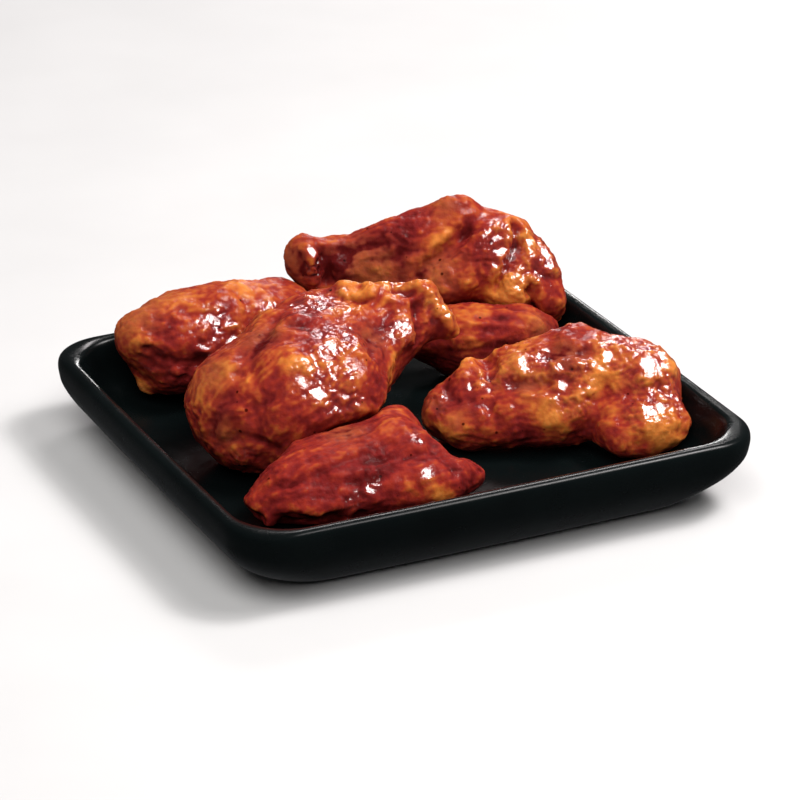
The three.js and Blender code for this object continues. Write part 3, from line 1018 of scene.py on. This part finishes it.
# %% Right drumette
note(
    "right_drumette", dryness=0.78, shade=0.03, lumpiness=0.9,
    folds={
        "knuckle_top": ("ridge", [(19, -6, 28), (22, -4, 30)], 2.2, 2.4),
        "knuckle_dip": ("dent", [(28, -2, 31), (26, -8, 31), (25, -12, 29)], 4.2, 2.4),
        "knuckle_low": ("ridge", [(9, -15, 17), (12, -20, 17)], 1.9, 3.4),
        "knuckle_split": (
            "crease", [(13, -6, 25), (13, -12, 23), (17, -17, 23), (20, -21, 22)], 1.1, 1.5,
        ),
        "knuckle_lump_1": ("ridge", [(9, -5, 22)], 1.4, 1.6),
        "knuckle_lump_2": ("ridge", [(7, -10, 19)], 1.4, 1.6),
        "knuckle_lump_3": ("ridge", [(7, -9, 15)], 1.2, 1.6),
        "knuckle_side": (
            "crease", [(27, -6, 32), (25, -12, 29), (22, -18, 25), (20, -25, 20)], 1.1, 2.0,
        ),
        "peak": ("ridge", [(52, -12, 39), (48, -15, 38)], 1.8, 3.0),
        "under_peak": ("dent", [(41, -18, 34), (46, -21, 35), (51, -24, 36)], 2.4, 2.9),
        "plate": ("ridge", [(42, -24, 33), (46, -26, 34)], 1.4, 2.0),
        "wet_cluster": ("ridge", [(31, -15, 32), (35, -18, 33)], 1.6, 2.4),
        "wet_row": ("ridge", [(24, -14, 29), (28, -15, 30)], 1.2, 1.8),
        "pocket": ("dent", [(29, -20, 28), (33, -22, 28), (38, -25, 28)], 2.0, 2.0),
        "mirror": ("dent", [(41, -27, 29), (45, -28, 31)], 1.0, 2.4),
        "pocket_edge": (
            "ridge", [(30, -24, 26), (36, -28, 25), (42, -31, 25), (48, -32, 27)], 1.5, 1.5,
        ),
        "belly": ("ridge", [(30, -29, 19), (38, -31, 20), (45, -33, 21)], 1.2, 3.2),
        "belly_crease": ("crease", [(52, -33, 26), (46, -36, 20), (43, -34, 13)], 1.5, 2.6),
        "valley": ("crease", [(57, -24, 36), (54, -28, 33), (53, -32, 28)], 0.4, 2.0),
        "end_lobe": ("ridge", [(57, -45, 22), (60, -47, 20)], 1.3, 4.4),
        "right_ridge": ("ridge", [(66, -35, 34), (62, -38, 30)], 1.4, 2.4),
        "amber_lump": ("ridge", [(73, -35, 31)], 1.5, 2.6),
        "end_crease": ("crease", [(67, -40, 28), (69, -45, 24), (68, -50, 17)], 1.7, 1.4),
        "far_dip": ("crease", [(59, -20, 37), (64, -25, 36), (69, -28, 34)], 1.2, 1.9),
    },
    tints=[
        # Painted shade: the patch at (46, -20, 35), in the hollow under the peak.
        ((36, -31, 20), 6, 0.46), ((31, -14, 33), 5, 0.26), ((52, -12, 39), 6, -0.36),
        ((22, -5, 30), 5, 0.24), ((46, -20, 35), 5, -0.34), ((52, -30, 30), 6, 0.32),
        ((54, -47, 18), 7, 0.2), ((66, -48, 18), 6, 0.22), ((49, -31, 29), 4, 0.2),
        ((11, -18, 17), 5, 0.16), ((8, -9, 19), 5, -0.2), ((73, -35, 31), 4, 0.44),
        ((61, -51, 18), 5, 0.5), ((28, -30, 14), 6, -0.2), ((46, -36, 20), 4, 0.06),
        ((17, -16, 23), 4, -0.24), ((33, -22, 28), 4, 0.1),
    ],
    browned=[((11, -18, 18), 4), ((32, -22, 28), 4), ((8, -8, 20), 3), ((46, -21, 36), 5)],
    wet=[
        ((33, -17, 33), 7), ((43, -24, 33), 7), ((24, -14, 29), 5), ((42, -27, 29), 6),
        ((42, -31, 24), 6), ((57, -24, 37), 7), ((66, -33, 34), 11), ((60, -46, 25), 7),
        ((70, -42, 25), 6), ((9, -9, 21), 5), ((46, -21, 36), 4, -2), ((50, -14, 39), 4, -1.5),
    ],
    pools=[
        ((42, -24, 32), 3.2), ((41, -27, 28), 3.0), ((33, -17, 32), 3.4), ((24, -14, 28), 2.2),
        ((28, -15, 30), 1.6), ((66, -35, 33), 5.2), ((71, -32, 34), 2.8), ((60, -46, 24), 3.4),
        ((38, -30, 24), 1.6), ((42, -31, 24), 1.6), ((46, -32, 24), 1.6), ((56, -27, 35), 2.6),
        ((64, -46, 24), 2.2), ((18, -12, 26), 1.6),
    ],
)

# %% [markdown]
# ## The folded form
# Under all its detail a wing is a soft form with a few deep folds. Those come first, on a coarse
# net, because a fold changes the form so much that the squares stretch. The folded form is then
# remeshed once more, finely and evenly, for the small relief to stand on. Each wing also needs to
# know its own length, along its bone, and where it touches the dish or another wing. The relief
# fades there, so that the pieces cut less into each other. Up to half a millimetre can remain.

# %% From form to fine skin
FORM_ROUNDS, SKIN_ROUNDS = 6, 3
FOLD_DEPTH = 0.72              # all folds' heights are multiplied by this
OTHERS_REACH = 2.5             # how near a neighbour weakens the relief
LEAST_RELIEF = 0.25            # what is left of it at the touch
PLACES_SIZE, PLACES_SEED = 9, 11


def closeness(name, points):
    """0 where a wing touches the dish or a neighbour, rising to 1 a little way off."""
    corners, faces = [], []
    for other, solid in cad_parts.items():
        if other != name:
            first = len(corners)
            corners += [tuple(v.co / MM) for v in solid.data.vertices]
            faces += [[first + i for i in face.vertices] for face in solid.data.polygons]
    others = BVHTree.FromPolygons(corners, faces)
    gaps = [others.find_nearest(point, OTHERS_REACH)[3] for point in points]
    return ease(0, OTHERS_REACH, np.array([OTHERS_REACH if gap is None else gap for gap in gaps]))


def wing_axes(points):
    """The wing's own directions, along its bone first, from the spread of its points."""
    spread = np.cov((points - points.mean(axis=0)).T)
    return np.linalg.eigh(spread)[1][:, ::-1]


def folded_form(name):
    """A wing's solid rounded, smoothed and folded."""
    form = Net(remeshed(welded_copy(name), FORM_CELL, 1))
    form.points = form.smooth(form.points, FORM_ROUNDS)
    for kind, line, height, width in WINGS[name]["folds"].values():
        fold(form, kind, line, FOLD_DEPTH * height, width)
    form.write()
    return form.mesh


class Skin(Net):
    """A wing's fine net, with the seed and the places that its relief is worked out from."""

    def __init__(self, name):
        super().__init__(remeshed(folded_form(name), SKIN_CELL))
        self.points = self.smooth(self.points, SKIN_ROUNDS)
        self.seed = list(WINGS).index(name)
        self.relief = LEAST_RELIEF + (1 - LEAST_RELIEF) * closeness(name, self.points)
        self.places = nudged(self.points, PLACES_SIZE, self.seed + PLACES_SEED)
        self.lengthwise = self.places @ wing_axes(self.points)

    def lumps(self, size, seed):
        """Lumps where the points are now."""
        return lumps(self.points, size, self.seed + seed)

    def drawn_out(self, size, seed, stretch):
        """Lumps drawn out along the bone; the smaller `stretch`, the longer."""
        return lumps(self.lengthwise * (stretch, 1, 1), size, self.seed + seed)

    def areas(self, size, seed, low, high):
        """Where a kind of relief grows, from 0 to 1: from `low` to `high` of a broad noise."""
        return ease(low, high, self.lumps(size, seed))


print("relief is full", OTHERS_REACH, "mm away from a neighbour and", LEAST_RELIEF, "at the touch")

# %% [markdown]
# ## Lumps and streaks
# Under the skin lie broad lumps of meat, and over it run fine wrinkles, always along the bone,
# because that is how the skin shrinks in the oven. Lumps are plain noise in two sizes. For the
# streaks the noise is drawn out along the wing and folded at its middle, which turns its slopes
# into sharp lines. A second noise lets them come and go.

# %% Lumps and streaks
LUMPS = [(0.75, 9, 0), (0.5, 4.6, 1)]          # height, size and seed
STREAK_HEIGHT, STREAKS = 0.45, (2.6, 2, 0.3)   # size, seed and stretch
STREAKY_AREAS = (14, 3, -0.2, 0.5)             # size, seed, and from where to where they set in


def lumps_and_streaks(skin, lumpiness):
    """The broad relief, in millimetres."""
    broad = sum(high * lumps(skin.places, size, skin.seed + seed) for high, size, seed in LUMPS)
    streaks = 0.5 - np.abs(skin.drawn_out(*STREAKS))
    streaks *= STREAK_HEIGHT * skin.areas(*STREAKY_AREAS)
    return lumpiness * broad + streaks


print("lumps of", [size for _, size, _ in LUMPS], "mm, streaks of", STREAKS[0], "mm")

# %% [markdown]
# ## Pimples, beads and fibres
# A pimple stands wherever there was a feather, and wet sauce draws together into beads that are
# smaller still. Both are round, so they come from scattered points and not from noise: close to a
# point the skin rises. Fibres of meat and a crisp crinkle fill what lies between. Bump in the
# material would be cheaper, but each of these is large enough to catch the lamp and to show in
# the outline.

# %% Pimples, beads and fibres
PIMPLE_HEIGHT, PIMPLE_SPACING = 0.34, 2.6
BEAD_HEIGHT, BEAD_SPACING = 0.26, 1.5
GRAIN_TOP, PIMPLE_EDGE, BEAD_EDGE = 0.05, 0.62, 0.7      # shares of the spacing
PIMPLY_AREAS, BEADED_AREAS = (11, 4, -0.35, 0.35), (8, 8, -0.3, 0.4)
DRY_BEADS = 0.4                                          # how high beads are on dry skin
DRY_CRINKLE, WET_CRINKLE, CRINKLE = 0.13, 0.28, (1.4, 5)         # size and seed
FIBRE_HEIGHT, FIBRES = 0.1, (1.5, 9, 0.16)                       # size, seed and stretch


def standing_up(skin, spacing, edge, seed):
    """Round grains on the skin: 1 on top of each and 0 between them."""
    return 1 - ease(GRAIN_TOP, edge, nearest_seed(skin.points, spacing, skin.seed + seed))


def pimples_and_beads(skin, lumpiness, wet, fibres):
    """The fine relief, in millimetres."""
    pimples = standing_up(skin, PIMPLE_SPACING, PIMPLE_EDGE, 0)
    pimples *= PIMPLE_HEIGHT * skin.areas(*PIMPLY_AREAS)
    beads = standing_up(skin, BEAD_SPACING, BEAD_EDGE, 1)
    beads *= BEAD_HEIGHT * skin.areas(*BEADED_AREAS)
    crinkle = (DRY_CRINKLE + WET_CRINKLE * wet) * skin.lumps(*CRINKLE)
    beaded = (DRY_BEADS + (1 - DRY_BEADS) * wet) * beads
    return lumpiness * pimples + beaded + crinkle + FIBRE_HEIGHT * fibres


print("pimples every", PIMPLE_SPACING, "mm, beads every", BEAD_SPACING, "mm")

# %% [markdown]
# ## How the sauce lies
# Sauce runs off the bumps and into the hollows. A fluid simulation would show that, at the cost of
# an hour. It is enough to compare the skin with an evened-out copy of itself: where it lies below
# the copy there is a hollow, and it is lifted part of the way back, as if sauce had filled it.
# The same numbers set the tone: darker in hollows and deep folds, partly for the thicker sauce
# there and partly as painted shade, lighter towards the top of the wing, partly where the sauce
# has run off and partly as painted light, and shifted by patches of tint and painted shading.

# %% Sauce
SPOT_SEED = 9                            # for the wet and the browned spots
WET_SHARE, WET_LUMPS = 0.35, (3, 20)     # size and seed
WET_EDGE = (0.3, 0.7)
HOLLOW_ROUNDS, DEEP_ROUNDS = 10, 60      # of smoothing, to find small and large hollows
SAUCE_FILL, SAUCE_DEPTH = 0.45, 0.6      # which share of a hollow fills, and how deep one counts
MIDDLE_TONE, MIDDLE_HEIGHT = 0.47, 0.55
# Hollows and deep folds darken the tone, partly for the thicker sauce there and partly as painted
# shade.
HOLLOW_DARK, DEEP_DARK = 0.14, 0.34      # by how much a millimetre of depth lowers the tone
# The top of each wing is lighter and its bottom darker, partly for the sauce running down and
# partly as painted light and painted shade.
DRAINED_AND_LIT, FIBRE_LIGHT = 0.28, 0.13
TONE_LUMPS = [(0.18, 10, 6), (0.12, 4, 7), (0.15, 1.7, 10)]      # amount, size and seed


def wet_places(skin, spots):
    """Where the sauce is wet, from 0 to 1."""
    wet = patches(skin.points, spots, skin.seed + SPOT_SEED)
    return ease(*WET_EDGE, wet + WET_SHARE * skin.lumps(*WET_LUMPS))


def fill_hollows(skin):
    """Lets sauce run into the hollows and tells how hollow each place was."""
    hollow = skin.below_level(HOLLOW_ROUNDS)
    skin.push(SAUCE_FILL * np.clip(hollow, 0, SAUCE_DEPTH))
    return hollow


def sauce_and_shading_tone(skin, wing, hollow, fibres):
    """The tone at each point, from the sauce and from painted shade and light: about 0 is dark red
    and 1 is amber.
    """
    broad, lesser, fine = [amount * skin.lumps(size, seed) for amount, size, seed in TONE_LUMPS]
    height = skin.points[:, 2]
    drained_and_lit = (height - height.min()) / np.ptp(height)
    # Painted shade in hollows, deep folds and towards the bottom, and painted light towards the
    # top, on top of the sauce's own tone.
    tone = MIDDLE_TONE - HOLLOW_DARK * hollow - DEEP_DARK * skin.below_level(DEEP_ROUNDS) + broad
    tone += lesser + DRAINED_AND_LIT * (drained_and_lit - MIDDLE_HEIGHT)
    tone += patches(skin.points, wing["tints"], skin.seed) + FIBRE_LIGHT * fibres + fine
    return tone + wing["shade"]


print("sauce fills", SAUCE_FILL, "of a hollow, down to", SAUCE_DEPTH, "mm")

# %% [markdown]
# ## One wing from start to end
# The steps come together here, in the order in which the real wing was made: form, lumps,
# pimples, sauce. What the material has to know is kept on the mesh as three numbers for each
# point: the tone, how browned it is and how dull. Baking them to an image would tie them to one
# size of image, and numbers on the points are as fine as the relief itself.

# %% Make a wing
BROWNED_TONE = (0.1, 0.4)      # darker than the first of these tones no browning shows


def make_wing(name):
    """The dressed mesh of one wing."""
    wing, skin = WINGS[name], Skin(name)
    wet = wet_places(skin, wing["wet"])
    fibres = skin.drawn_out(*FIBRES)
    skin.push(lumps_and_streaks(skin, wing["lumpiness"]) * skin.relief)
    skin.push(pimples_and_beads(skin, wing["lumpiness"], wet, fibres) * skin.relief)
    wet = skin.smooth(wet, 1)
    hollow = fill_hollows(skin)
    for place, radius in wing["pools"]:
        wet = np.maximum(wet, settle(skin, place, radius))
    tone = sauce_and_shading_tone(skin, wing, hollow, fibres)
    browned = np.clip(patches(skin.points, wing["browned"], skin.seed + SPOT_SEED), 0, 1)
    dull = wing["dryness"] + (1 - wing["dryness"]) * browned - wet
    browned *= ease(*BROWNED_TONE, tone)
    skin.write()
    mesh = skin.mesh
    for label, values in {"tone": tone, "browned": browned, "dull": np.clip(dull, 0, 1)}.items():
        layer = mesh.attributes.new(label, "FLOAT", "POINT")
        layer.data.foreach_set("value", values.astype(np.float32))
    mesh.shade_smooth()
    mesh.name = name + "_skin"
    low, high = np.percentile(tone, (2, 98))
    print(name, len(mesh.polygons), "faces, tone %.2f to %.2f" % (low, high))
    return mesh


# %% [markdown]
# ## The sauce's colour
# Cooked sauce goes from nearly black red, where it is thick, through brick red to amber, where it
# is thin over the skin. The same ramp also carries the painted shade and painted light that are in
# the tone. A painted image could hold that, but a colour ramp on the tone that is kept on the mesh
# needs no image and stays sharp close up. A little noise mottles the tone, since spices lie in the
# sauce.

# %% Sauce colour
SAUCE_COLOURS = [
    (0.05, (0.070, 0.0048, 0.0048)),
    (0.30, (0.160, 0.0125, 0.0118)),
    (0.50, (0.242, 0.0220, 0.0128)),
    (0.68, (0.350, 0.0620, 0.0175)),
    (0.88, (0.460, 0.1290, 0.0240)),
    (1.00, (0.550, 0.1750, 0.0340)),
]
MOTTLE = 0.2


def kept(tree, label):
    """A number that is kept on the mesh's points."""
    return node(tree, "ShaderNodeAttribute", attribute_name=label).outputs["Fac"]


def worked_out(tree, operation, *values):
    """The result of a Math node. Its inputs share one name, so they are filled by number."""
    made = sockets(node(tree, "ShaderNodeMath", operation=operation), dict(enumerate(values)))
    return made.outputs["Value"]


meat_material, tree, shader = new_material("glazed_meat")
where = node(tree, "ShaderNodeTexCoord").outputs["Object"]
spice = noise(tree, scale=260.0, detail=4.0, Vector=where)
mottle = worked_out(tree, "MULTIPLY_ADD", spice, MOTTLE, -MOTTLE / 2)
sauce = ramp(tree, worked_out(tree, "ADD", kept(tree, "tone"), mottle), SAUCE_COLOURS)
print("sauce:", len(SAUCE_COLOURS), "colours from dark red to amber")

# %% [markdown]
# ## Browned skin and pepper
# Where the skin has browned, the sauce turns a dull orange brown, which is mixed in by the number
# kept on the mesh. Pepper is scattered all over as dark specks. Each could be a small grain of
# its own, but at a few tenths of a millimetre they show as colour only. They come from a cell
# pattern: the distance to each cell's middle is divided by the cell's own random colour, so that
# no two specks are the same size.

# %% Browned skin and pepper
BROWNED_COLOUR, BROWNED_SHARE = (0.29, 0.080, 0.030, 1), 0.6
PEPPER_COLOURS = [(0.09, (0.2, 0.12, 0.1)), (0.16, (1, 1, 1))]


def mixed(tree, how, factor, first, second):
    """Two colours mixed in a given way."""
    made = node(tree, "ShaderNodeMix", data_type="RGBA", blend_type=how)
    return sockets(made, {"Factor": factor, "A": first, "B": second}).outputs["Result"]


brown_share = worked_out(tree, "MULTIPLY", kept(tree, "browned"), BROWNED_SHARE)
crust = mixed(tree, "MIX", brown_share, sauce, BROWNED_COLOUR)
cells = sockets(node(tree, "ShaderNodeTexVoronoi"), {"Vector": where, "Scale": 200.0})
grain = worked_out(tree, "DIVIDE", cells.outputs["Distance"], cells.outputs["Color"])
peppered = mixed(tree, "MULTIPLY", 1, crust, ramp(tree, grain, PEPPER_COLOURS))
print("pepper: dark within", PEPPER_COLOURS[0][0], "of a cell, gone at", PEPPER_COLOURS[1][0])

# %% [markdown]
# ## A wet coat over soft meat
# Meat lets a little light in, which comes out redder, so the shader has some subsurface. On top
# lies the sauce, as a clear coat. One glossy surface would be simpler, but then the meat would
# shine evenly all over. The coat is nearly full where the sauce is wet and nearly nothing where
# it has dried. A very fine grain breaks the highlights up, and it stays below a fifth of a
# millimetre, or the wet places would turn hazy.

# %% Wet coat and soft body
DRY_COAT = 0.01

coat = worked_out(tree, "MULTIPLY_ADD", kept(tree, "dull"), DRY_COAT - 1, 1.0)
grit = noise(tree, scale=1300.0, detail=3.0, Vector=where)
fine_grain = bump(tree, grit, strength=0.8, distance=0.00017)
sockets(shader, {
    "Base Color": peppered, "Roughness": 0.42, "Specular IOR Level": 0.02,
    "Subsurface Weight": 0.25, "Subsurface Radius": (1, 0.25, 0.12), "Subsurface Scale": 0.0016,
    "Coat Weight": coat, "Coat Roughness": 0.06, "Coat IOR": 1.85,
    "Normal": fine_grain, "Coat Normal": fine_grain,
})
print("glazed meat:", len(tree.nodes), "nodes")

# %% [markdown]
# ## Dress the six wings
# Each wing is one piece, since its skin, its folds and its sauce are one surface on the real wing
# too. It rides on the serving, takes the place of its own solid and gets the glazed meat material.

# %% Wings
for name in WINGS:
    wing = bpy.data.objects.new("glazed_" + name, make_wing(name))
    bpy.context.scene.collection.objects.link(wing)
    wing.data.materials.append(meat_material)
    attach(wing, "root")
    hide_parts(name)

# %% [markdown]
# ## Measure and finish
# The dressed serving should fill the same box as its solids, give or take a wrinkle. Both boxes
# are measured and printed, so that they can be compared.

# %% Measure and finish
sizes = {"cad": CAD_BOX, "visual": [list(corner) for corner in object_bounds()]}
for label, box in sizes.items():
    print(label, "box in mm:", [[round(value / MM, 1) for value in corner] for corner in box])
